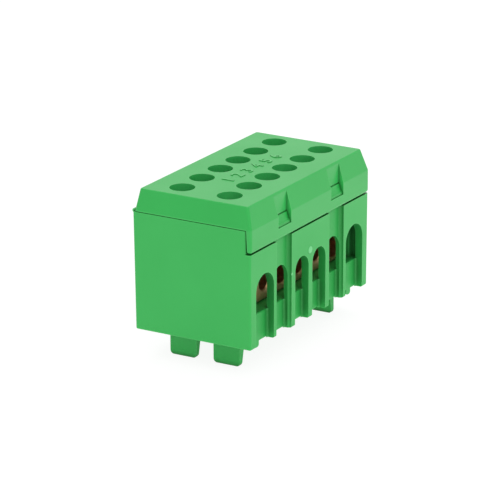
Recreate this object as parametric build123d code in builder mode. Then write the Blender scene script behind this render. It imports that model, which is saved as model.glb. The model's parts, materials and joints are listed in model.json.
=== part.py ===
from build123d import *
import os
from collections import namedtuple
from math import atan, degrees

# Earth terminal bar: a brass bar with six cable bores in a moulded housing. Its cover turns on a
# film hinge along the back and snaps onto two noses at the front.
# X runs along the block, Y across it and Z up. The origin is under the middle of the block, level
# with the undersides of the feet. Heights named below are above the housing's lower edge, which
# is one foot's drop above the origin. All sizes are in millimetres.

os.makedirs("parts", exist_ok=True)

# Half of the long side, from its middle to its end
centre_rib = 2.6
medium_arch = 9.2
inner_rib = 2.5
recess_width = 10.2
outer_rib = 1.7
large_arch = 12.0
end_margin = 3.6
small_arch = 9.2

# Heights on the outside
foot_drop = 9.8
sill_height = 10.4
medium_arch_top = 24.0
large_arch_top = 25.2
seam_height = 42.7
seam_gap = 0.2
wall_lean = 0.3

# Walls of the housing
block_width = 46.0
side_wall = 2.7
end_wall = 2.0
floor_wall = 1.8
panel_wall = 1.6
panel_lift = 0.4
rebate = 1.5
cavity_round = 1.0
groove_round = 0.8
recess_round = 1.3
corner_round = 0.7
edge_round = 0.6
rim_round = 0.2
sill_round = 0.5

# Feet and lugs under the housing
foot_reach = 32.5
foot_root = 3.4
foot_tip = 1.3
foot_width = 10.6
foot_gap = 6.8
foot_round = 1.4
lug_width = 2.8
lug_drop = 1.7
lug_round = 1.0

# Cover: a cap above the seam, whose sides lean in, and a flap below it along the front
cap_height = 7.8
front_slope = 2.2
back_slope = 1.2
end_slope = 1.9
cap_wall = 2.9
cap_top_wall = 2.7
cap_corner = 1.0
cap_round = 0.6
flap_height = 8.2
flap_root = 1.85
flap_tip = 1.45
flap_proud = 0.2
flap_gap = 0.4
flap_round = 1.2
driver_hole = 8.9

# Film hinge along the back: a thin loop that opens flat as the cover turns
film_radius = 0.75
film_wall = 0.3
film_bulge = 0.5
film_end = 0.4
open_gap = 0.1

# Latch windows in the flap, down from the seam, and the noses that click into them
window_width = 8.7
window_drop = 4.2
window_depth = 1.95
nose_reach = 1.5
nose_land = 0.3
nose_ramp = 2.4
nose_side_gap = 0.15
nose_under_gap = 0.1

# Brass bar
bar_width = 30.0
bar_height = 20.0
bar_end_gap = 0.5
bar_side_gap = 0.15
bar_chamfer = 0.5
bore_chamfer = 0.4
bore_level = 6.6
large_bore = 10.4
medium_bore = 8.2
small_bore = 6.0
locator_reach = 2.0
locator_wall = 2.55

# Clamp screws
large_screw = 8.0
medium_screw = 6.0
small_screw = 5.0
thread_gap = 0.05
screw_row = 9.4
head_diameter = 9.6
head_height = 3.0
head_round = 0.3
head_gap = 0.3
tip_gap = 0.3
tip_chamfer = 0.6
wire_left = 1.6
slot_width = 1.4
slot_depth = 1.6
slot_turn = 35

# Cuts run past the faces that they open
overrun = 1.0

# Places that follow from the sizes above
medium_x = centre_rib / 2 + medium_arch / 2
recess_start = centre_rib / 2 + medium_arch + inner_rib
small_x = recess_start + recess_width / 2
large_x = recess_start + recess_width + outer_rib + large_arch / 2
block_length = 2 * (large_x + large_arch / 2 + end_margin)
inner_length = block_length - 2 * end_wall
inner_width = block_width - 2 * side_wall
skirt_width = inner_width - 2 * panel_wall
upper_y = block_width / 2 - rebate
seam_y = block_width / 2 + wall_lean
ledge_height = seam_height - flap_height - flap_gap
window_bottom = seam_height - window_drop
block_height = seam_height + cap_height
bar_base = foot_drop + sill_height
bar_top = bar_base + bar_height
bar_length = inner_length - 2 * bar_end_gap
bore_z = bar_base + bore_level
seam_z = foot_drop + seam_height
hinge_y = seam_y + film_bulge - film_radius
cover_front = seam_y + flap_proud
cover_back = 2 * hinge_y - seam_y - open_gap
cover_length = block_length + 2 * wall_lean

# The three kinds of cable entry: distance from the middle, arch, bore and screw
Entry = namedtuple("Entry", "place arch arch_top bore screw")
entries = [
    Entry(medium_x, medium_arch, medium_arch_top, medium_bore, medium_screw),
    Entry(small_x, small_arch, medium_arch_top, small_bore, small_screw),
    Entry(large_x, large_arch, large_arch_top, large_bore, large_screw),
]


# Housing: one moulding, open on top for the bar and open below between its feet
with BuildPart() as housing:
    with BuildSketch(Plane.XY.offset(foot_drop)):
        Rectangle(block_length, block_width)
    extrude(amount=seam_height - seam_gap)
    walls = housing.faces().filter_by(Axis.Z, reverse=True)
    draft(walls, Plane.XY.offset(foot_drop), -degrees(atan(wall_lean / seam_height)))
    with BuildSketch(Plane.XY.offset(foot_drop + ledge_height)):
        with Locations((0, -upper_y - (rebate + overrun) / 2)):
            Rectangle(block_length + 2 * overrun, rebate + overrun)
    extrude(amount=seam_height - ledge_height, mode=Mode.SUBTRACT)
    fillet(housing.edges().filter_by(Plane.XY, reverse=True), corner_round)
    fillet(housing.edges().group_by(Axis.Z)[-1], rim_round)
    fillet(housing.edges().group_by(Axis.Z)[0], edge_round)

    # Chamber for the bar, and the hollow below its floor
    with BuildSketch(Plane.XY.offset(bar_base)):
        Rectangle(inner_length, inner_width)
        fillet(vertices(), cavity_round)
    extrude(amount=seam_height - sill_height + overrun, mode=Mode.SUBTRACT)
    with BuildSketch(Plane.XY.offset(foot_drop)):
        Rectangle(inner_length, skirt_width)
        fillet(vertices(), cavity_round)
    extrude(amount=sill_height - floor_wall, mode=Mode.SUBTRACT)
    with BuildSketch(Plane.XY.offset(foot_drop)):
        Rectangle(inner_length, inner_width)
    extrude(amount=panel_lift, mode=Mode.SUBTRACT)

    # Columns that are set back, level with the ledge at their tops
    with BuildSketch(Plane.XY.offset(foot_drop)) as set_backs:
        with GridLocations(2 * small_x, block_width - rebate + overrun, 2, 2):
            Rectangle(recess_width, rebate + overrun)
        rows = set_backs.vertices().group_by(Axis.Y)
        fillet(rows[1] + rows[2], recess_round)
    extrude(amount=ledge_height, mode=Mode.SUBTRACT)

    # Cable entries: grooves below the sills, and arched openings above them
    with BuildSketch(Plane.XY.offset(foot_drop)) as grooves:
        for entry in entries:
            with GridLocations(2 * entry.place, block_width - side_wall + overrun, 2, 2):
                Rectangle(entry.arch, side_wall + overrun)
        rows = grooves.vertices().group_by(Axis.Y)
        fillet(rows[1] + rows[2], groove_round)
    extrude(amount=sill_height, mode=Mode.SUBTRACT)
    with BuildSketch(Plane.XZ):
        for entry in entries:
            spring = entry.arch_top - entry.arch / 2
            with Locations((0, foot_drop + (sill_height + spring) / 2)):
                with GridLocations(2 * entry.place, 0, 2, 1):
                    Rectangle(entry.arch, spring - sill_height)
            with Locations((0, foot_drop + spring)):
                with GridLocations(2 * entry.place, 0, 2, 1):
                    Circle(entry.arch / 2)
    extrude(amount=block_width, both=True, mode=Mode.SUBTRACT)

    # Sills: the front edge of each one is rounded over
    sill_y = inner_width / 2 - sill_round
    for entry in entries:
        for hand in (-1, 1):
            with BuildSketch(Plane.YZ.offset(hand * entry.place - entry.arch / 2)):
                for side in (-1, 1):
                    with Locations((side * (sill_y + sill_round / 2), bar_base - sill_round / 2)):
                        Rectangle(sill_round, sill_round)
                    with Locations((side * sill_y, bar_base - sill_round)):
                        Circle(sill_round, mode=Mode.SUBTRACT)
            extrude(amount=entry.arch, mode=Mode.SUBTRACT)

    # Upright ribs on the end walls that hold the bar's corners
    with BuildSketch(Plane.XY.offset(bar_base)):
        for hand in (-1, 1):
            for side in (-1, 1):
                locator_y = bar_width / 2 + bar_side_gap + locator_wall / 2
                locator_x = inner_length / 2 - locator_reach / 2
                with Locations((hand * locator_x, side * locator_y)):
                    Rectangle(locator_reach, locator_wall)
    extrude(amount=bar_height)

    # Latch noses: a ramp that swells to a catch at its lower end
    nose_z = foot_drop + window_bottom + nose_under_gap
    nose_width = window_width - 2 * nose_side_gap
    tip_y = -upper_y - nose_reach
    root_y = -upper_y + rebate / 2
    for hand in (-1, 1):
        with BuildSketch(Plane.YZ.offset(hand * small_x - nose_width / 2)):
            with BuildLine():
                Polyline(
                    (-upper_y, nose_z + nose_land + nose_ramp),
                    (root_y, nose_z + nose_land + nose_ramp),
                    (root_y, nose_z),
                    (tip_y, nose_z),
                    (tip_y, nose_z + nose_land),
                )
                Spline(
                    (tip_y, nose_z + nose_land),
                    (-upper_y, nose_z + nose_land + nose_ramp),
                    tangents=((0, 1), (0, 1)),
                )
            make_face()
        extrude(amount=nose_width)

    # Cross ribs under the floor, and the feet that run on down from them
    with BuildSketch(Plane.XY.offset(foot_drop)):
        for hand in (-1, 1):
            with Locations((hand * (foot_reach - foot_root / 2), 0)):
                Rectangle(foot_root, skirt_width)
    extrude(amount=sill_height - floor_wall)
    for hand in (-1, 1):
        outer = hand * foot_reach
        for start in (foot_gap / 2 + foot_width, -foot_gap / 2):
            with BuildSketch(Plane.XZ.offset(-start)):
                with BuildLine():
                    Polyline(
                        (outer, foot_drop),
                        (outer, 0),
                        (outer - hand * foot_tip, 0),
                        (outer - hand * foot_root, foot_drop),
                        close=True,
                    )
                make_face()
            extrude(amount=foot_width)
    fillet(housing.edges().filter_by(Axis.X).group_by(Axis.Z)[0], foot_round)

    # Lugs below the backing panels, in line with the feet
    lug_x = foot_reach - foot_tip / 2
    for start in (inner_width / 2, -skirt_width / 2):
        for hand in (-1, 1):
            with BuildSketch(Plane.XZ.offset(-start)) as lug:
                with Locations((hand * lug_x, foot_drop + (panel_lift - lug_drop) / 2)):
                    Rectangle(lug_width, panel_lift + lug_drop)
                fillet(lug.vertices().group_by(Axis.Y)[0], lug_round)
            extrude(amount=panel_wall)

housing.part.label = "housing"
export_step(housing.part, "parts/housing.step")


# Cover: a cap whose four sides lean in, and a flap down the front that hides the ledge
cap_middle = (cover_back - cover_front) / 2
cap_width = cover_back + cover_front

with BuildPart() as cover:
    with BuildSketch(Plane.XY.offset(seam_z)):
        with Locations((0, cap_middle)):
            Rectangle(cover_length, cap_width)
    extrude(amount=cap_height)
    for axis, end, slope in (
        (Axis.Y, 0, front_slope),
        (Axis.Y, -1, back_slope),
        (Axis.X, 0, end_slope),
        (Axis.X, -1, end_slope),
    ):
        side = cover.faces().sort_by(axis)[end]
        draft(side, Plane.XY.offset(seam_z), degrees(atan(slope / cap_height)))
    with BuildSketch(Plane.YZ.offset(-cover_length / 2)):
        with BuildLine():
            Polyline(
                (-cover_front, seam_z),
                (-cover_front, seam_z - flap_height),
                (-cover_front + flap_tip, seam_z - flap_height),
                (-cover_front + flap_root, seam_z),
                close=True,
            )
        make_face()
    extrude(amount=cover_length)

    # Rounds: the flap's lower corners, the upright corners and the rim of the top
    fillet(cover.edges().filter_by(Axis.Y).group_by(Axis.Z)[0], flap_round)
    upright = cover.edges().filter_by(GeomType.LINE).filter_by(Plane.XY, reverse=True)
    behind_flap = upright.filter_by_position(Axis.Z, 0, seam_z).sort_by(Axis.Y)[2:]
    fillet([edge for edge in upright if edge not in behind_flap], cap_corner)
    fillet(cover.edges().group_by(Axis.Z)[-1], cap_round)

    # Hollow under the top
    with BuildSketch(Plane.XY.offset(seam_z)):
        with Locations((0, cap_middle)):
            Rectangle(cover_length - 2 * cap_wall, cap_width - 2 * cap_wall)
    hollow_taper = degrees(atan(end_slope / cap_height))
    extrude(amount=cap_height - cap_top_wall, taper=hollow_taper, mode=Mode.SUBTRACT)

    # Windows, each with an upright pocket above it that runs out through the slope
    window_height = block_height - window_bottom
    with BuildSketch(Plane.XZ.offset(cover_front - window_depth)):
        for hand in (-1, 1):
            with Locations((hand * small_x, foot_drop + window_bottom + window_height / 2)):
                Rectangle(window_width, window_height)
    extrude(amount=window_depth + overrun, mode=Mode.SUBTRACT)

    # Screwdriver holes over the clamp screws
    with BuildSketch(Plane.XY.offset(foot_drop + block_height)):
        for entry in entries:
            with GridLocations(2 * entry.place, 2 * screw_row, 2, 2):
                Circle(driver_hole / 2)
    extrude(amount=-cap_top_wall, mode=Mode.SUBTRACT)

cover.part.label = "cover"
export_step(cover.part, "parts/cover.step")


# Film hinge: a thin loop from the housing's back wall over to the foot of the cap
with BuildPart() as hinge_film:
    with BuildSketch(Plane.YZ.offset(film_end - block_length / 2)):
        with Locations((hinge_y, seam_z)):
            Circle(film_radius)
            Circle(film_radius - film_wall, mode=Mode.SUBTRACT)
        with Locations((seam_y - film_radius, seam_z - film_radius / 2)):
            Rectangle(2 * film_radius, film_radius, mode=Mode.SUBTRACT)
    extrude(amount=block_length - 2 * film_end)
    add(cover.part, mode=Mode.SUBTRACT)

hinge_film.part.label = "hinge_film"
export_step(hinge_film.part, "parts/hinge_film.step")


# Terminal bar: solid brass, bored across for the cables and tapped from above for the screws
with BuildPart() as terminal_bar:
    with BuildSketch(Plane.XY.offset(bar_base)):
        Rectangle(bar_length, bar_width)
    extrude(amount=bar_height)
    chamfer(terminal_bar.edges(), bar_chamfer)
    with BuildSketch(Plane.XZ):
        for entry in entries:
            with Locations((entry.place, bore_z), (-entry.place, bore_z)):
                Circle(entry.bore / 2)
    extrude(amount=bar_width, both=True, mode=Mode.SUBTRACT)
    chamfer(terminal_bar.edges().filter_by(GeomType.CIRCLE), bore_chamfer)
    with BuildSketch(Plane.XY.offset(bar_top)):
        for entry in entries:
            with GridLocations(2 * entry.place, 2 * screw_row, 2, 2):
                Circle(entry.screw / 2 + thread_gap)
    extrude(amount=bore_z - bar_top, mode=Mode.SUBTRACT)

terminal_bar.part.label = "terminal_bar"
export_step(terminal_bar.part, "parts/terminal_bar.step")


# Clamp screws, wound up clear of the bores: numbered from the -X end of each row
columns = [(-entry.place, entry) for entry in reversed(entries)]
columns += [(entry.place, entry) for entry in entries]

for row_name, row_side in (("front", -1), ("back", 1)):
    for number, (screw_x, entry) in enumerate(columns, start=1):
        tip_z = bore_z + entry.bore / 2 + tip_gap
        travel = entry.bore + tip_gap - wire_left
        head_z = bar_top + travel + head_gap
        screw_y = row_side * screw_row
        with BuildPart() as clamp_screw:
            with BuildSketch(Plane((screw_x, screw_y, tip_z))):
                Circle(entry.screw / 2)
            extrude(amount=head_z - tip_z)
            chamfer(clamp_screw.edges().group_by(Axis.Z)[0], tip_chamfer)
            with BuildSketch(Plane((screw_x, screw_y, head_z))):
                Circle(head_diameter / 2)
            extrude(amount=head_height)
            fillet(clamp_screw.edges().group_by(Axis.Z)[-1], head_round)
            with BuildSketch(Plane((screw_x, screw_y, head_z + head_height))):
                Rectangle(slot_width, 2 * head_diameter, rotation=slot_turn * number)
            extrude(amount=-slot_depth, mode=Mode.SUBTRACT)
        name = f"clamp_screw_{row_name}_{number}"
        clamp_screw.part.label = name
        export_step(clamp_screw.part, f"parts/{name}.step")
        print(name, "travel", round(travel, 2))
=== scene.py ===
# %% [markdown]
# # An earth terminal bar in its moulded box
# The object is a brass bar that joins six earth cables. It sits in a green moulded housing,
# under a cover that snaps on. The solid model gives every piece at its real size, and this
# lesson dresses it: it sets up the photographer's table, then makes each finish, then adds
# the small things that a solid model leaves out, such as threads and raised numbers.

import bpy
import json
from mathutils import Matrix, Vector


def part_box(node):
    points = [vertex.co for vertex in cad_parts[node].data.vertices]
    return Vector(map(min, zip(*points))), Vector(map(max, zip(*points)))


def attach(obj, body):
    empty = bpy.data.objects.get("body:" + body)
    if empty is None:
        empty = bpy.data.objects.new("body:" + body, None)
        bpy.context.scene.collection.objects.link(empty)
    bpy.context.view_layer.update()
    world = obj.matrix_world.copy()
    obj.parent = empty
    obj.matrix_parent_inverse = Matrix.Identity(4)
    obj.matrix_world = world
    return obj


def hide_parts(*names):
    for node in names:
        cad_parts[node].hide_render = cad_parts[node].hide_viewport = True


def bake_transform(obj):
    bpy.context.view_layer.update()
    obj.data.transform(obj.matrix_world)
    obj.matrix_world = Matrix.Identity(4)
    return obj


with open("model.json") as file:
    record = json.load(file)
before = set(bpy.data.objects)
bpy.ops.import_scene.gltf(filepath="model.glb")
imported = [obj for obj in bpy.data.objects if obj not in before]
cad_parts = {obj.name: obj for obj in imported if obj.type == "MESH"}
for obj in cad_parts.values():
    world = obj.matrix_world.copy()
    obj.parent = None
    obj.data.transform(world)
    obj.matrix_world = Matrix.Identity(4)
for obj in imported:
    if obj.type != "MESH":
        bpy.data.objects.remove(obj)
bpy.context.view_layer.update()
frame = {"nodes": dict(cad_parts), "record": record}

import json
import math

import bmesh
import bpy
from mathutils import Matrix, Vector

MM = 0.001

# %% [markdown]
# ## The camera
# A long lens from well back keeps the block's sides almost parallel, as a catalogue picture
# does. The camera looks down a little, past the block's left-hand end. A Track To constraint
# could aim it, but then it couldn't lean, so its three axes are worked out here. Its place is
# written as the angle round the object, the height of the view, the lean, the distance and the
# point that it aims at, because those are the things a photographer would change.

# %% Camera
CAMERA_AZIMUTH = math.radians(-59.187)
CAMERA_ELEVATION = math.radians(18.406)
CAMERA_ROLL = math.radians(-0.308)
CAMERA_DISTANCE = 1242.5 * MM
CAMERA_AIM = Vector((-1.64, 0.21, 30.9)) * MM
SENSOR = 36.0
FOCAL_PIXELS = 3570.7
FRAME_PIXELS = 500


def make_camera():
    """A camera that looks at the aim point from the photograph's angle."""
    flat = math.cos(CAMERA_ELEVATION)
    back = Vector((math.sin(CAMERA_AZIMUTH) * flat, -math.cos(CAMERA_AZIMUTH) * flat,
                   math.sin(CAMERA_ELEVATION)))
    right = Vector((0, 0, 1)).cross(back).normalized()
    up = back.cross(right)
    turn = Matrix.Rotation(CAMERA_ROLL, 3, back)
    axes = Matrix((turn @ right, turn @ up, back)).transposed()
    data = bpy.data.cameras.new("camera")
    data.sensor_width = SENSOR
    data.lens = SENSOR * FOCAL_PIXELS / FRAME_PIXELS
    camera = bpy.data.objects.new("camera", data)
    camera.matrix_world = Matrix.Translation(CAMERA_AIM + back * CAMERA_DISTANCE) @ axes.to_4x4()
    bpy.context.scene.collection.objects.link(camera)
    bpy.context.scene.camera = camera
    return camera


camera = make_camera()
print("camera at", [round(value, 3) for value in camera.location], "lens", round(camera.data.lens, 1))

# %% [markdown]
# ## A start for every finish
# A finish in Blender is a small network of nodes that ends in a shader. Each finish here
# starts from the same shader, so one helper makes it and hands back a short way to add nodes.

# %% Helper: a new material and its nodes
def new_material(name):
    """A node material, with its shader and a function that adds nodes to it."""
    material = bpy.data.materials.new(name)
    material.use_nodes = True
    tree = material.node_tree
    shader = tree.nodes["Principled BSDF"]

    def add(kind, **settings):
        node = tree.nodes.new(kind)
        for key, value in settings.items():
            setattr(node, key, value)
        return node

    return material, tree, shader, add


print("helper ready: new_material")

# %% [markdown]
# ## The light
# The picture looks as if it was taken in a white tent: light comes from all round, and the
# background burns out to white. An image of a studio could light the scene, but a plain world
# is enough for satin plastic. It is white where the camera or a reflection sees it, and dimmer
# where it lights the object, so that two large soft lamps can still give the faces slightly
# different tones.

# %% World and lamps
WORLD_LIGHT = 0.62
LAMP_SIZE = 0.9
LAMPS = {"key": ((-0.55, -0.8, 1.1), 4.6), "top": ((0.3, 0.2, 1.3), 7.2)}


def make_world():
    """White to the eye and in reflections, dimmer as a light."""
    world = bpy.data.worlds.new("tent")
    world.use_nodes = True
    bpy.context.scene.world = world
    nodes, links = world.node_tree.nodes, world.node_tree.links
    nodes.clear()
    paths = nodes.new("ShaderNodeLightPath")
    seen = nodes.new("ShaderNodeMath")
    seen.operation = "MAXIMUM"
    seen_too = nodes.new("ShaderNodeMath")
    seen_too.operation = "MAXIMUM"
    links.new(paths.outputs["Is Camera Ray"], seen.inputs[0])
    links.new(paths.outputs["Is Glossy Ray"], seen.inputs[1])
    links.new(seen.outputs[0], seen_too.inputs[0])
    links.new(paths.outputs["Is Transmission Ray"], seen_too.inputs[1])
    dim = nodes.new("ShaderNodeBackground")
    dim.inputs["Strength"].default_value = WORLD_LIGHT
    bright = nodes.new("ShaderNodeBackground")
    for background in (dim, bright):
        background.inputs["Color"].default_value = (1, 1, 1, 1)
    mix = nodes.new("ShaderNodeMixShader")
    out = nodes.new("ShaderNodeOutputWorld")
    links.new(seen_too.outputs[0], mix.inputs[0])
    links.new(dim.outputs[0], mix.inputs[1])
    links.new(bright.outputs[0], mix.inputs[2])
    links.new(mix.outputs[0], out.inputs["Surface"])


def make_lamp(name, place, size, power):
    """A square soft lamp that faces the block."""
    data = bpy.data.lights.new(name, "AREA")
    data.size = size
    data.energy = power
    lamp = bpy.data.objects.new(name, data)
    lamp.location = place
    lamp.rotation_euler = (Vector(place) - CAMERA_AIM).to_track_quat("Z", "Y").to_euler()
    bpy.context.scene.collection.objects.link(lamp)


make_world()
for name, (place, power) in LAMPS.items():
    make_lamp(name, place, LAMP_SIZE, power)
print("lamps:", list(LAMPS))

# %% [markdown]
# ## The table
# The block stands on white paper. A flat disc is enough for it, as long as its rim is far away.
# It glows a little, as the floor of a tent does, and that light reaches the feet from below.
# Where the camera sees it, most of its brightness is glow, so the block's shadow stays on it
# but stays faint.

# %% Table
FLOOR_RADIUS = 3.0
FLOOR_EDGES = 96
PAPER = 0.9
PAPER_GLOW = 0.42
SEEN_PAPER = 0.15
SEEN_GLOW = 0.90


def make_floor():
    """A pale disc that keeps a faint shadow and burns out elsewhere."""
    material, tree, shader, add = new_material("table")
    tree.nodes.remove(shader)
    out = tree.nodes["Material Output"]
    paths = add("ShaderNodeLightPath")
    mix = add("ShaderNodeMixShader")
    tree.links.new(paths.outputs["Is Camera Ray"], mix.inputs[0])
    for slot, (white, strength) in enumerate(((PAPER, PAPER_GLOW), (SEEN_PAPER, SEEN_GLOW)), 1):
        paper = add("ShaderNodeBsdfDiffuse")
        paper.inputs["Color"].default_value = (white, white, white, 1)
        glow = add("ShaderNodeEmission")
        glow.inputs["Strength"].default_value = strength
        both = add("ShaderNodeAddShader")
        tree.links.new(paper.outputs[0], both.inputs[0])
        tree.links.new(glow.outputs[0], both.inputs[1])
        tree.links.new(both.outputs[0], mix.inputs[slot])
    tree.links.new(mix.outputs[0], out.inputs["Surface"])
    mesh = bpy.data.meshes.new("table")
    builder = bmesh.new()
    bmesh.ops.create_circle(builder, cap_ends=True, segments=FLOOR_EDGES, radius=FLOOR_RADIUS)
    builder.to_mesh(mesh)
    builder.free()
    mesh.materials.append(material)
    floor = bpy.data.objects.new("table", mesh)
    bpy.context.scene.collection.objects.link(floor)
    return floor


floor = make_floor()
bpy.context.scene.view_settings.view_transform = "Standard"
print("table radius", FLOOR_RADIUS)

# %% [markdown]
# ## How closed in a point is
# Moulded plastic and brass look real up close when their corners, pockets and seams differ
# from their open faces. The finishes below paint light and shade at these places: a painted
# highlight on outer corners, painted shade in pockets and seams, and painted light in the
# cover's driver holes and the brass bores. These places could be painted by hand, but one kind
# of node finds them all. Ambient Occlusion tells how much of the space round a point is free: 1
# in the open, and less where walls are near. Turned inwards with a short reach it finds outer
# corners. Turned outwards with a long reach it finds pockets, and with a short reach that counts
# other pieces too it finds seams.

# %% Helper: how closed in a point is
PROBE_SAMPLES = 8


def closed_in(add, link, reach, closed_value, inside=False, most_closed=0.0, other_pieces=False):
    """A number that runs from 0 in the open to closed_value where the probe says most_closed."""
    probe = add("ShaderNodeAmbientOcclusion", samples=PROBE_SAMPLES, inside=inside)
    probe.only_local = not other_pieces
    probe.inputs["Distance"].default_value = reach
    scale = add("ShaderNodeMapRange")
    scale.inputs["From Min"].default_value = 1.0
    scale.inputs["From Max"].default_value = most_closed
    scale.inputs["To Max"].default_value = closed_value
    link(probe.outputs["AO"], scale.inputs["Value"])
    return scale.outputs["Result"]


print("probe samples", PROBE_SAMPLES)

# %% [markdown]
# ## Small helpers for the finishes
# Every finish here is built from the same few steps: noise in the object's own space, a blend
# of two colours, a value spread between two limits, and a slight relief. The noise is worked
# out from the position in space, so it has its real size everywhere and needs no unwrapping.

# %% Helpers: noise, blends, limits and relief
def add_noise(add, link, place, per_metre, detail):
    """Noise with about per_metre bumps to the metre."""
    noise = add("ShaderNodeTexNoise")
    noise.inputs["Scale"].default_value = per_metre
    noise.inputs["Detail"].default_value = detail
    link(place, noise.inputs["Vector"])
    return noise.outputs["Fac"]


def spread(add, link, value, limits):
    """Spreads a value of 0 to 1 between two limits."""
    low, high = limits
    scale = add("ShaderNodeMapRange")
    scale.inputs["To Min"].default_value = low
    scale.inputs["To Max"].default_value = high
    link(value, scale.inputs["Value"])
    return scale.outputs["Result"]


def add_relief(add, link, height, shader, strength, depth):
    """Gives a finish a slight relief that follows a value."""
    bump = add("ShaderNodeBump")
    bump.inputs["Strength"].default_value = strength
    bump.inputs["Distance"].default_value = depth
    link(height, bump.inputs["Height"])
    link(bump.outputs["Normal"], shader.inputs["Normal"])


def blend_colours(add, link, factor, first, second):
    """Mixes two colours, each given as a value or as a socket."""
    mix = add("ShaderNodeMix", data_type="RGBA")
    link(factor, mix.inputs["Factor"])
    for end, colour in (("A", first), ("B", second)):
        if isinstance(colour, tuple):
            mix.inputs[end].default_value = colour
        else:
            link(colour, mix.inputs[end])
    return mix.outputs["Result"]


print("helpers ready: add_noise, spread, add_relief, blend_colours")

# %% [markdown]
# ## Green moulding
# The housing and cover are injection-moulded plastic from a spark-finished tool. Such a face
# has a very fine even grain, a satin gloss, and slow changes of shade where the melt flowed.
# One flat colour would make it look like a drawing, so its finish is built up in layers. Its
# outer corners get a painted highlight, a paler green. Its pockets get painted shade, a deeper
# green that stands for light bounced from green to green, and are duller, and its seams get
# painted shade that is darker still. Light from the table reaches the feet, so the painted
# pocket shade fades out below the walls. The cover has its own finish, a little glossier, and
# its driver holes get painted light instead, lighter than its face, which stands for light that
# comes through the thin cover.

# %% Colours and sizes of the green
GREEN = (0.020, 0.42, 0.071, 1)
GREEN_FLOW = (0.016, 0.38, 0.061, 1)
# Painted light and shade: a highlight on outer corners, shade in the housing's pockets, light in the
# cover's driver holes, and shade in seams.
GREEN_PAINTED_HIGHLIGHT = (0.085, 0.56, 0.14, 1)
GREEN_PAINTED_SHADE = (0.003, 0.060, 0.010, 1)
GREEN_PAINTED_HOLE_LIGHT = (0.095, 0.72, 0.20, 1)
GREEN_PAINTED_SEAM_SHADE = (0.003, 0.10, 0.010, 1)
EDGE_REACH = 0.5 * MM
EDGE_MOST = 0.4
EDGE_CLOSED = 0.55
CREVICE_REACH = 1.6 * MM
CREVICE_MOST = 0.9
CREVICE_CLOSED = 0.3
HOLLOW_REACH = 22 * MM
FEET_BELOW = 8 * MM
WALLS_ABOVE = 13 * MM
REACHES = (EDGE_REACH, CREVICE_REACH, HOLLOW_REACH)
print("probe reaches in mm:", [round(reach / MM, 1) for reach in REACHES])

# %% Helpers: the colour of the green finish
def only_above_feet(add, link, place, value):
    """Fades a value out from the foot of the walls down to the feet."""
    height = add("ShaderNodeSeparateXYZ")
    link(place, height.inputs[0])
    above = add("ShaderNodeMapRange")
    above.inputs["From Min"].default_value = FEET_BELOW
    above.inputs["From Max"].default_value = WALLS_ABOVE
    link(height.outputs["Z"], above.inputs["Value"])
    faded = add("ShaderNodeMath", operation="MULTIPLY")
    link(value, faded.inputs[0])
    link(above.outputs["Result"], faded.inputs[1])
    return faded.outputs[0]


def green_colour(add, link, place, flow, hollow, pocket_paint_colour):
    """Flow shades, then a painted highlight on corners, then the given pocket colour (painted shade
    or painted light), then painted seam shade.
    """
    body = blend_colours(add, link, flow, GREEN, GREEN_FLOW)
    # Outer corners get a painted highlight, a paler green.
    corner = closed_in(add, link, EDGE_REACH, EDGE_MOST, inside=True, most_closed=EDGE_CLOSED)
    with_painted_highlight = blend_colours(add, link, corner, body, GREEN_PAINTED_HIGHLIGHT)
    # Pockets take the given colour: painted shade on the housing, painted light on the cover.
    pocket_paint_mask = only_above_feet(add, link, place, hollow)
    with_pocket_paint = blend_colours(add, link, pocket_paint_mask, with_painted_highlight, pocket_paint_colour)
    # Seams and gaps between pieces get a painted shade, nearly black.
    painted_seam_shade_mask = closed_in(add, link, CREVICE_REACH, CREVICE_MOST, most_closed=CREVICE_CLOSED,
                        other_pieces=True)
    return blend_colours(add, link, painted_seam_shade_mask, with_pocket_paint, GREEN_PAINTED_SEAM_SHADE)


print("helpers ready: only_above_feet, green_colour")

# %% Green moulding
GRAIN_PER_METRE = 5200
GRAIN_DETAIL = 2
GRAIN_STRENGTH = 0.25
GRAIN_DEPTH = 0.02 * MM
FLOW_PER_METRE = 55
FLOW_DETAIL = 3
HOUSING_ROUGHNESS = (0.36, 0.50)
LID_ROUGHNESS = (0.30, 0.40)
HOLLOW_ROUGHNESS = 0.8
PLASTIC_IOR = 1.45


def make_green(name, pocket_paint_colour, roughness):
    """Satin green plastic with spark grain, flow shades, a painted highlight on corners, a painted
    pocket colour and painted seam shade.
    """
    material, tree, shader, add = new_material(name)
    link = tree.links.new
    place = add("ShaderNodeTexCoord").outputs["Object"]
    flow = add_noise(add, link, place, FLOW_PER_METRE, FLOW_DETAIL)
    hollow = closed_in(add, link, HOLLOW_REACH, 1.0)
    colour = green_colour(add, link, place, flow, hollow, pocket_paint_colour)
    link(colour, shader.inputs["Base Color"])
    grain = add_noise(add, link, place, GRAIN_PER_METRE, GRAIN_DETAIL)
    add_relief(add, link, grain, shader, GRAIN_STRENGTH, GRAIN_DEPTH)
    coarse = add("ShaderNodeMix", data_type="FLOAT")
    link(hollow, coarse.inputs["Factor"])
    link(spread(add, link, flow, roughness), coarse.inputs["A"])
    coarse.inputs["B"].default_value = HOLLOW_ROUGHNESS
    link(coarse.outputs["Result"], shader.inputs["Roughness"])
    shader.inputs["IOR"].default_value = PLASTIC_IOR
    return material


# The housing's pockets get a painted shade, a darker green.
green = make_green("green_moulding", GREEN_PAINTED_SHADE, HOUSING_ROUGHNESS)
# The cover's pockets, its driver holes, get painted light, a green lighter than its face.
green_lid = make_green("green_lid", GREEN_PAINTED_HOLE_LIGHT, LID_ROUGHNESS)
print("green moulding:", len(green.node_tree.nodes), "nodes in each of two finishes")

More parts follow.
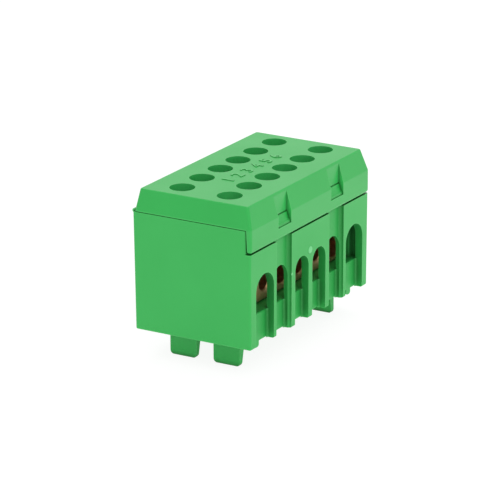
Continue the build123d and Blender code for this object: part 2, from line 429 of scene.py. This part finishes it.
# %% [markdown]
# ## Brass
# The bar is sawn and drilled from drawn brass and left bare. It has fine drawing lines along
# its length and a dull brown bloom, deeper in some places than in others. Its bores get a
# painted reflection, a redder and brighter brass that stands for light bounced from brass to
# brass inside them. The lines come from noise that is stretched along X, the bloom is a second,
# coarser noise, and the bores are found by the same probe as the green pockets.

# %% Brass
BRASS = (0.42, 0.29, 0.13, 1)
BRASS_BLOOM = (0.27, 0.165, 0.085, 1)
BRASS_PAINTED_BORE_LIGHT = (0.50, 0.25, 0.11, 1)
BRASS_METAL = 0.88
BRASS_ROUGHNESS = (0.20, 0.44)
BORE_REACH = 12 * MM
BORE_CLOSED = 0.25
LINES_PER_METRE = (60, 4200, 4200)
LINES_DETAIL = 3
LINES_STRENGTH = 0.3
LINES_DEPTH = 0.02 * MM
BLOOM_PER_METRE = 260
BLOOM_DETAIL = 4


def make_brass():
    """Drawn brass with fine lines along X, a brown bloom and a painted reddish reflection in the
    bores.
    """
    material, tree, shader, add = new_material("brass")
    link = tree.links.new
    place = add("ShaderNodeTexCoord").outputs["Object"]
    stretch = add("ShaderNodeMapping")
    stretch.inputs["Scale"].default_value = LINES_PER_METRE
    link(place, stretch.inputs["Vector"])
    # The stretched place already counts lines per metre, so the noise keeps a scale of 1.
    lines = add_noise(add, link, stretch.outputs["Vector"], 1, LINES_DETAIL)
    bloom = add_noise(add, link, place, BLOOM_PER_METRE, BLOOM_DETAIL)
    face = blend_colours(add, link, bloom, BRASS, BRASS_BLOOM)
    # The bores get a painted reflection, a redder and brighter brass.
    bore = closed_in(add, link, BORE_REACH, 1.0, most_closed=BORE_CLOSED)
    link(blend_colours(add, link, bore, face, BRASS_PAINTED_BORE_LIGHT), shader.inputs["Base Color"])
    link(spread(add, link, lines, BRASS_ROUGHNESS), shader.inputs["Roughness"])
    shader.inputs["Metallic"].default_value = BRASS_METAL
    add_relief(add, link, lines, shader, LINES_STRENGTH, LINES_DEPTH)
    return material


brass = make_brass()
print("brass:", len(brass.node_tree.nodes), "nodes")

# %% [markdown]
# ## Plated steel
# The clamp screws are turned steel with a thin zinc coat. Turning leaves rings that cannot be
# told apart at this size, so only a soft change of gloss and a faint cloudiness are kept.

# %% Plated steel
STEEL = (0.47, 0.47, 0.45, 1)
STEEL_CLOUD = (0.33, 0.33, 0.31, 1)
STEEL_ROUGHNESS = (0.22, 0.40)
CLOUDS_PER_METRE = 700
CLOUDS_DETAIL = 3


def make_steel():
    """Zinc-plated steel with cloudy gloss."""
    material, tree, shader, add = new_material("plated_steel")
    link = tree.links.new
    place = add("ShaderNodeTexCoord").outputs["Object"]
    cloud = add_noise(add, link, place, CLOUDS_PER_METRE, CLOUDS_DETAIL)
    link(blend_colours(add, link, cloud, STEEL, STEEL_CLOUD), shader.inputs["Base Color"])
    link(spread(add, link, cloud, STEEL_ROUGHNESS), shader.inputs["Roughness"])
    shader.inputs["Metallic"].default_value = 1
    return material


steel = make_steel()
print("plated steel:", len(steel.node_tree.nodes), "nodes")

# %% [markdown]
# ## Dress the solid pieces
# The two mouldings and the bar already have their true shape, so they only take a finish. The
# other solid pieces are the screws and the film hinge, which are made again further down, so
# they take the steel for now.

# %% Dress the solid pieces
FINISHES = {"housing": green, "cover": green_lid, "terminal_bar": brass}


def dress(node, material):
    """Gives a solid piece one finish."""
    node.data.materials.clear()
    node.data.materials.append(material)


for name, node in frame["nodes"].items():
    dress(node, FINISHES.get(name, steel))
print("dressed", len(frame["nodes"]), "solid pieces")

# %% [markdown]
# ## Clamp screws with real threads
# The solid screws are plain cylinders with a slotted head. A thread is a helix, and the eye
# finds it in the way the flanks catch light, so each screw is made again as a mesh. The Screw
# modifier could wind one tooth up the shank, but then both ends need cutting and capping. Here
# a column of points for every angle climbs through root, flank, crest and flank, one pitch
# after another, and each column starts a little higher than the last, which is the helix.
# Points past either end are pulled back onto it, and a 45 degree limit on the radius cuts the
# start of the thread as a real chamfer does. Diameters and lengths are read from the solid,
# and the pitch is the usual one for each diameter.

# %% Helper: a finished piece from a mesh builder
def finish_piece(builder, name, material, smooth_angle):
    """Turns a mesh builder into an object with one finish and clean normals."""
    bmesh.ops.recalc_face_normals(builder, faces=builder.faces)
    mesh = bpy.data.meshes.new(name)
    builder.to_mesh(mesh)
    builder.free()
    mesh.polygons.foreach_set("use_smooth", [True] * len(mesh.polygons))
    mesh.set_sharp_from_angle(angle=math.radians(smooth_angle))
    mesh.materials.append(material)
    piece = bpy.data.objects.new(name, mesh)
    bpy.context.scene.collection.objects.link(piece)
    return piece


print("helper ready: finish_piece")

# %% Thread
WELD = 0.001 * MM
THREAD_STEPS = 40
SPARE_TURNS = 2
PITCHES = {8.0: 1.25, 6.0: 1.0, 5.0: 0.8}
THREAD_DEPTH_SHARE = 0.58
PROFILE_SHARES = ((0.0, 0.0), (0.25, 0.0), (0.56, 1.0), (0.69, 1.0))
CHAMFER = 0.6 * MM


def thread_radius(height, columns):
    """The radius of one thread column at a height, between its two nearest points."""
    for (low, inner), (high, outer) in zip(columns, columns[1:]):
        if low <= height <= high:
            return inner + (outer - inner) * (height - low) / (high - low)
    return columns[-1][1]


def make_shank(builder, radius, pitch, bottom, top):
    """A threaded shank on the Z axis between two heights."""
    root = radius - THREAD_DEPTH_SHARE * pitch
    turns = math.ceil((top - bottom) / pitch) + SPARE_TURNS
    rings = []
    for step in range(THREAD_STEPS + 1):
        angle = math.tau * step / THREAD_STEPS
        lift = bottom + (step / THREAD_STEPS - SPARE_TURNS) * pitch
        column = [(lift + (turn + along) * pitch, root + (radius - root) * out)
                  for turn in range(turns + 1) for along, out in PROFILE_SHARES]
        ring = []
        for height, reach in column:
            held = min(max(height, bottom), top)
            reach = reach if held == height else thread_radius(held, column)
            reach = min(reach, radius - CHAMFER + held - bottom)
            ring.append(builder.verts.new((reach * math.cos(angle), reach * math.sin(angle), held)))
        rings.append(ring)
    for left, right in zip(rings, rings[1:]):
        for row in range(len(left) - 1):
            builder.faces.new((left[row], right[row], right[row + 1], left[row + 1]))
    bmesh.ops.remove_doubles(builder, verts=builder.verts, dist=WELD)
    bmesh.ops.dissolve_degenerate(builder, edges=builder.edges, dist=WELD)
    rims = [edge for edge in builder.edges if edge.is_boundary]
    bmesh.ops.holes_fill(builder, edges=rims, sides=0)


print("thread columns", THREAD_STEPS)

# %% [markdown]
# ## The screws' heads
# The head is a turned profile spun round the axis, with a rounded rim and a slightly sunk
# crown. Its slot is cut with a Boolean, because a saw cuts it on the real screw, and the sharp
# mouth of the slot is left as the saw leaves it.

# %% Screw head
HEAD_STEPS = 64
RIM_ROUND = 0.45 * MM
RIM_STEPS = 5
CROWN_DROP = 0.12 * MM
CROWN_SHARE = 0.62
UNDER_CHAMFER = 0.25 * MM
SLOT_WIDTH = 1.4 * MM
SLOT_DEPTH = 1.6 * MM


def head_profile(radius, bottom, top):
    """The head's outline from the axis below, round the rim, to the axis above."""
    points = [(0, bottom), (radius - UNDER_CHAMFER, bottom), (radius, bottom + UNDER_CHAMFER)]
    for step in range(RIM_STEPS + 1):
        angle = math.pi / 2 * step / RIM_STEPS
        points.append((radius - RIM_ROUND * (1 - math.cos(angle)),
                       top - RIM_ROUND * (1 - math.sin(angle))))
    points += [(radius * CROWN_SHARE, top), (radius * CROWN_SHARE - CROWN_DROP, top - CROWN_DROP)]
    points.append((0, top - CROWN_DROP))
    return points


def make_head(builder, radius, bottom, top):
    """A turned head on the Z axis."""
    outline = head_profile(radius, bottom, top)
    points = [builder.verts.new((out, 0, height)) for out, height in outline]
    edges = [builder.edges.new(pair) for pair in zip(points, points[1:])]
    bmesh.ops.spin(builder, geom=points + edges, cent=(0, 0, 0), axis=(0, 0, 1),
                   angle=math.tau, steps=HEAD_STEPS, use_merge=True)
    bmesh.ops.remove_doubles(builder, verts=builder.verts, dist=WELD)
    bmesh.ops.dissolve_degenerate(builder, edges=builder.edges, dist=WELD)


def cut_slot(piece, top, turn, length):
    """Saws a slot across the head with a blade that stands half above it."""
    builder = bmesh.new()
    size = Matrix.Diagonal((SLOT_WIDTH, length, 2 * SLOT_DEPTH, 1))
    bmesh.ops.create_cube(builder, size=1.0, matrix=Matrix.Translation((0, 0, top)) @ size)
    bmesh.ops.rotate(builder, verts=builder.verts, cent=(0, 0, 0),
                     matrix=Matrix.Rotation(turn, 3, "Z"))
    mesh = bpy.data.meshes.new("saw")
    builder.to_mesh(mesh)
    builder.free()
    saw = bpy.data.objects.new("saw", mesh)
    bpy.context.scene.collection.objects.link(saw)
    cut = piece.modifiers.new("slot", "BOOLEAN")
    cut.operation = "DIFFERENCE"
    cut.object = saw
    bpy.context.view_layer.update()
    result = piece.evaluated_get(bpy.context.evaluated_depsgraph_get())
    slotted = bpy.data.meshes.new_from_object(result)
    piece.modifiers.clear()
    piece.data = slotted
    bpy.data.objects.remove(saw)


print("head steps", HEAD_STEPS)

# %% [markdown]
# ## All twelve screws
# Each screw is measured on its solid, made at the origin and moved into place. Its head is
# slotted first, and then its shank is added as a second closed skin that ends a little way
# inside the head. Each slot stands at its own angle, as on screws that were wound in by hand.

# %% All twelve screws
ENTRIES = 6
SLOT_TURN = math.radians(35)
SAW_LENGTH_IN_RADII = 3
SHANK_INTO_HEAD = 0.45 * MM
RIM_BAND = 0.1 * MM
SHANK_BELOW = 1 * MM
SCREW_EDGE_ANGLE = 30


def measure_screw(node):
    """Axis, tip, underside of the head, top and shank radius of a solid screw."""
    low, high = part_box(node.name)
    axis = Vector(((low[0] + high[0]) / 2, (low[1] + high[1]) / 2, 0))
    points = [vertex.co - axis for vertex in node.data.vertices]
    head_radius = max(point.xy.length for point in points)
    under = min(point.z for point in points if point.xy.length > head_radius - RIM_BAND)
    shank = max(point.xy.length for point in points if point.z < under - SHANK_BELOW)
    return axis, low[2], under, high[2], shank, head_radius


def make_screw(name, number):
    """One threaded and slotted screw in the place of its solid."""
    axis, tip, under, top, shank, head_radius = measure_screw(frame["nodes"][name])
    pitch = PITCHES[round(2 * shank / MM, 1)] * MM
    builder = bmesh.new()
    make_head(builder, head_radius, under, top)
    piece = finish_piece(builder, name + "_turned", steel, SCREW_EDGE_ANGLE)
    cut_slot(piece, top, SLOT_TURN * number, SAW_LENGTH_IN_RADII * head_radius)
    builder = bmesh.new()
    make_shank(builder, shank, pitch, tip, under + SHANK_INTO_HEAD)
    builder.from_mesh(piece.data)
    bmesh.ops.translate(builder, verts=builder.verts, vec=axis)
    bmesh.ops.recalc_face_normals(builder, faces=builder.faces)
    builder.to_mesh(piece.data)
    builder.free()
    piece.data.polygons.foreach_set("use_smooth", [True] * len(piece.data.polygons))
    piece.data.set_sharp_from_angle(angle=math.radians(SCREW_EDGE_ANGLE))
    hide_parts(name)
    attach(piece, name)
    return piece


screws = []
for row in ("front", "back"):
    for number in range(1, ENTRIES + 1):
        screws.append(make_screw(f"clamp_screw_{row}_{number}", number))
print("screws:", len(screws), "faces:", sum(len(screw.data.polygons) for screw in screws))

# %% [markdown]
# ## Film hinge
# Along the back a thin film of the same plastic joins the cover to the housing. It was moulded
# flat, so with the cover shut it stands out as a small round bead. A thickened sheet could be
# bent to that bead, but a strip drawn as a closed section also gets finished ends, which are
# filled almost to the axis.

# %% Places along the film
FILM_WALL = 0.3 * MM
FILM_FROM = math.radians(-78)
FILM_TO = math.radians(124)
FILM_STEPS = 28
FILM_SPANS = 16
FILM_PLUG = 0.4 * MM
FILM_CORE = 0.04 * MM


def film_stations(low_x, high_x, hollow):
    """Places along the film, each with its inner radius, which is tiny at the filled ends."""
    inner_low = low_x + FILM_PLUG
    inner_high = high_x - FILM_PLUG
    stations = [(low_x, FILM_CORE), (inner_low - FILM_CORE, FILM_CORE)]
    for span in range(FILM_SPANS + 1):
        stations.append((inner_low + (inner_high - inner_low) * span / FILM_SPANS, hollow))
    stations += [(inner_high + FILM_CORE, FILM_CORE), (high_x, FILM_CORE)]
    return stations


print("film spans", FILM_SPANS, "with a wall of", FILM_WALL / MM, "mm")

# %% Film hinge
MOULDED_EDGE_ANGLE = 40


def make_film():
    """A curved strip round the hinge axis, from the back wall over to the cover's foot."""
    joints = frame["record"]["behaviour"]["joints"]
    hinge = next(joint for joint in joints if joint["type"] == "hinge")
    _, axis_y, axis_z = hinge["pos_m"]
    low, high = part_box("hinge_film")
    outer = high[1] - axis_y
    arc = FILM_TO - FILM_FROM
    turns = [FILM_FROM + arc * step / FILM_STEPS for step in range(FILM_STEPS + 1)]
    builder = bmesh.new()
    rings = []
    for x, hollow in film_stations(low[0], high[0], outer - FILM_WALL):
        section = [(outer, turn) for turn in turns] + [(hollow, turn) for turn in reversed(turns)]
        ring = []
        for radius, turn in section:
            y = axis_y + radius * math.cos(turn)
            z = axis_z + radius * math.sin(turn)
            ring.append(builder.verts.new((x, y, z)))
        rings.append(ring)
    count = len(rings[0])
    for left, right in zip(rings, rings[1:]):
        for here in range(count):
            after = (here + 1) % count
            builder.faces.new((left[here], left[after], right[after], right[here]))
    for ring in (rings[0], rings[-1]):
        for step in range(FILM_STEPS):
            back = count - 1 - step
            builder.faces.new((ring[step], ring[step + 1], ring[back - 1], ring[back]))
    film = finish_piece(builder, "hinge_strip", green_lid, MOULDED_EDGE_ANGLE)
    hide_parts("hinge_film")
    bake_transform(film)
    return film


film = make_film()
print("film hinge faces", len(film.data.polygons))

# %% [markdown]
# ## Faces of the latch noses
# The cover snaps over two noses, which fill its windows almost flush. The solid nose is a plain
# ramp. The real one swells smoothly from its head to its catch and has soft side edges, so a
# skin with that face is laid over each ramp. One formula gives how proud it stands at each
# height, and the outermost columns of points fall back a little, which rounds the sides. Its
# sizes are in millimetres, and each entry of the sides is a share of the half width with how
# far that column falls back.

# %% Faces of the latch noses
NOSE_PLACES = {"nose_face_left": -18.1, "nose_face_right": 18.1}
NOSE_HALF_WIDTH = 4.22
NOSE_HEAD = 52.15
NOSE_FOOT = 48.42
NOSE_HEAD_OUT = 21.95
NOSE_FOOT_OUT = 23.15
NOSE_ROOT = 21.3
NOSE_SWELL = 1.5
NOSE_ROWS = 16
NOSE_LIP = 0.08
NOSE_SIDES = ((1.0, 0.12), (0.985, 0.045), (0.96, 0.01), (0.92, 0.0))


def make_nose_face(name, middle):
    """A skin that swells from the nose's head to its catch."""
    columns = [(-share, back) for share, back in NOSE_SIDES]
    columns += [(share, back) for share, back in reversed(NOSE_SIDES)]
    builder = bmesh.new()
    rings = []
    for share, back in columns:
        x = (middle + share * NOSE_HALF_WIDTH) * MM
        ring = []
        for row in range(NOSE_ROWS + 1):
            down = row / NOSE_ROWS
            out = NOSE_HEAD_OUT + (NOSE_FOOT_OUT - NOSE_HEAD_OUT) * down ** NOSE_SWELL - back
            if row in (0, NOSE_ROWS):
                out -= NOSE_LIP
            height = NOSE_HEAD + (NOSE_FOOT - NOSE_HEAD) * down
            ring.append(builder.verts.new((x, -out * MM, height * MM)))
        for height in (NOSE_FOOT, NOSE_HEAD):
            ring.append(builder.verts.new((x, -NOSE_ROOT * MM, height * MM)))
        rings.append(ring)
    for left, right in zip(rings, rings[1:]):
        for here in range(len(left)):
            after = (here + 1) % len(left)
            builder.faces.new((left[here], left[after], right[after], right[here]))
    for ring in (rings[0], rings[-1]):
        builder.faces.new(ring)
    face = finish_piece(builder, name, green, MOULDED_EDGE_ANGLE)
    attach(face, "root")
    return face


nose_faces = [make_nose_face(name, middle) for name, middle in NOSE_PLACES.items()]
print("nose faces", [round(value / MM, 2) for value in nose_faces[0].dimensions])

# %% [markdown]
# ## Numbers on the lid
# A row of raised numbers down the middle of the lid gives each cable entry its place. A bump
# could only fake them, so they are text curves turned into meshes. Their strokes have real
# height and a soft edge, and they start just under the face, so no gap can open below them.

# %% Numbers on the lid
NUMBER_SIZE = 6.6 * MM
NUMBER_SPACING = 6.4 * MM
NUMBER_RELIEF = 0.22 * MM
NUMBER_SINK = 0.15 * MM
NUMBER_EDGE = 0.05 * MM
NUMBER_CURVE_STEPS = 4
NUMBER_WELD = 0.002 * MM


def make_numbers():
    """The numbers 1 to 6 in one raised row along the lid."""
    _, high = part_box("cover")
    builder = bmesh.new()
    for number in range(1, ENTRIES + 1):
        curve = bpy.data.curves.new(f"number_{number}", "FONT")
        curve.body = str(number)
        curve.size = NUMBER_SIZE
        curve.align_x = "CENTER"
        curve.align_y = "CENTER"
        curve.extrude = (NUMBER_RELIEF + NUMBER_SINK) / 2 - NUMBER_EDGE
        curve.bevel_depth = NUMBER_EDGE
        curve.resolution_u = NUMBER_CURVE_STEPS
        text = bpy.data.objects.new(f"number_{number}", curve)
        bpy.context.scene.collection.objects.link(text)
        bpy.context.view_layer.update()
        mesh = bpy.data.meshes.new_from_object(text)
        x = (number - (ENTRIES + 1) / 2) * NUMBER_SPACING
        middle = high[2] + (NUMBER_RELIEF - NUMBER_SINK) / 2
        mesh.transform(Matrix.Translation((x, 0, middle)))
        builder.from_mesh(mesh)
        bpy.data.objects.remove(text)
    bmesh.ops.remove_doubles(builder, verts=builder.verts, dist=NUMBER_WELD)
    numbers = finish_piece(builder, "lid_numbers", green_lid, MOULDED_EDGE_ANGLE)
    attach(numbers, "cover")
    return numbers


numbers = make_numbers()
print("numbers", [round(value / MM, 2) for value in numbers.dimensions])

# %% [markdown]
# ## Gate marks
# Where the plastic entered the mould a small stub was snapped off. What is left is a low pale
# button with a torn face, between the two middle entries, and a smaller one beside the second
# entry. Plastic goes pale where it is torn, so they get a paler finish. The buttons are rings
# of points on a short profile, and a fixed set of waves makes the torn face uneven.

# %% Torn plastic
TORN = (0.08, 0.52, 0.15, 1)
TORN_PALE = (0.24, 0.70, 0.32, 1)
TORN_ROUGHNESS = 0.62
CRUMBS_PER_METRE = 3800
CRUMBS_DETAIL = 4
CRUMBS_STRENGTH = 0.5
CRUMBS_DEPTH = 0.05 * MM


def make_torn():
    """Pale, matt plastic as it looks where it was torn."""
    material, tree, shader, add = new_material("torn_plastic")
    link = tree.links.new
    place = add("ShaderNodeTexCoord").outputs["Object"]
    crumbs = add_noise(add, link, place, CRUMBS_PER_METRE, CRUMBS_DETAIL)
    link(blend_colours(add, link, crumbs, TORN, TORN_PALE), shader.inputs["Base Color"])
    shader.inputs["Roughness"].default_value = TORN_ROUGHNESS
    add_relief(add, link, crumbs, shader, CRUMBS_STRENGTH, CRUMBS_DEPTH)
    return material


torn = make_torn()
print("torn plastic:", len(torn.node_tree.nodes), "nodes")

# %% [markdown]
# ## The two marks
# Each mark is given by its X, Z, radius and height in millimetres. A ray finds the wall that it
# sits on, so the mark follows the solid if that changes, and its first ring lies inside the
# wall. The waves run three times round the mark and shift from ring to ring.

# %% Gate marks
MARK_STEPS = 24
MARKS = {"gate_mark": (-0.3, 34.5, 1.3, 0.18), "small_gate_mark": (-12.75, 29.3, 0.5, 0.10)}
MARK_PROFILE_SHARES = ((1.0, -1.0), (1.0, 0.45), (0.88, 0.85), (0.6, 1.0), (0.3, 0.9))
TORN_WAVE_SHARE = 0.22
WAVES_ROUND = 3
WAVE_SHIFT = 5
RAY_FROM_Y = -1


def wall_at(node, x, z):
    """The Y of the front wall of a solid at a place, found by a ray."""
    hit, place, _, _ = node.ray_cast(Vector((x, RAY_FROM_Y, z)), Vector((0, 1, 0)))
    assert hit, "no wall there"
    return place.y


def make_mark(name, x, z, radius, height):
    """A low button on the front wall with an uneven face."""
    front = wall_at(frame["nodes"]["housing"], x * MM, z * MM)
    builder = bmesh.new()
    rings = []
    for reach, rise in MARK_PROFILE_SHARES:
        ring = []
        for step in range(MARK_STEPS):
            angle = math.tau * step / MARK_STEPS
            ripple = math.sin(WAVES_ROUND * angle + WAVE_SHIFT * reach)
            wave = TORN_WAVE_SHARE * ripple * max(rise, 0)
            out = height * MM * (rise - wave)
            across = x * MM + radius * MM * reach * math.cos(angle)
            up = z * MM + radius * MM * reach * math.sin(angle)
            ring.append(builder.verts.new((across, front - out, up)))
        rings.append(ring)
    for inner, outer in zip(rings, rings[1:]):
        for step in range(MARK_STEPS):
            after = (step + 1) % MARK_STEPS
            builder.faces.new((inner[step], inner[after], outer[after], outer[step]))
    for ring in (rings[0], rings[-1]):
        builder.faces.new(ring)
    mark = finish_piece(builder, name, torn, MOULDED_EDGE_ANGLE)
    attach(mark, "root")
    return mark


marks = [make_mark(name, *sizes) for name, sizes in MARKS.items()]
print("gate marks", len(marks))
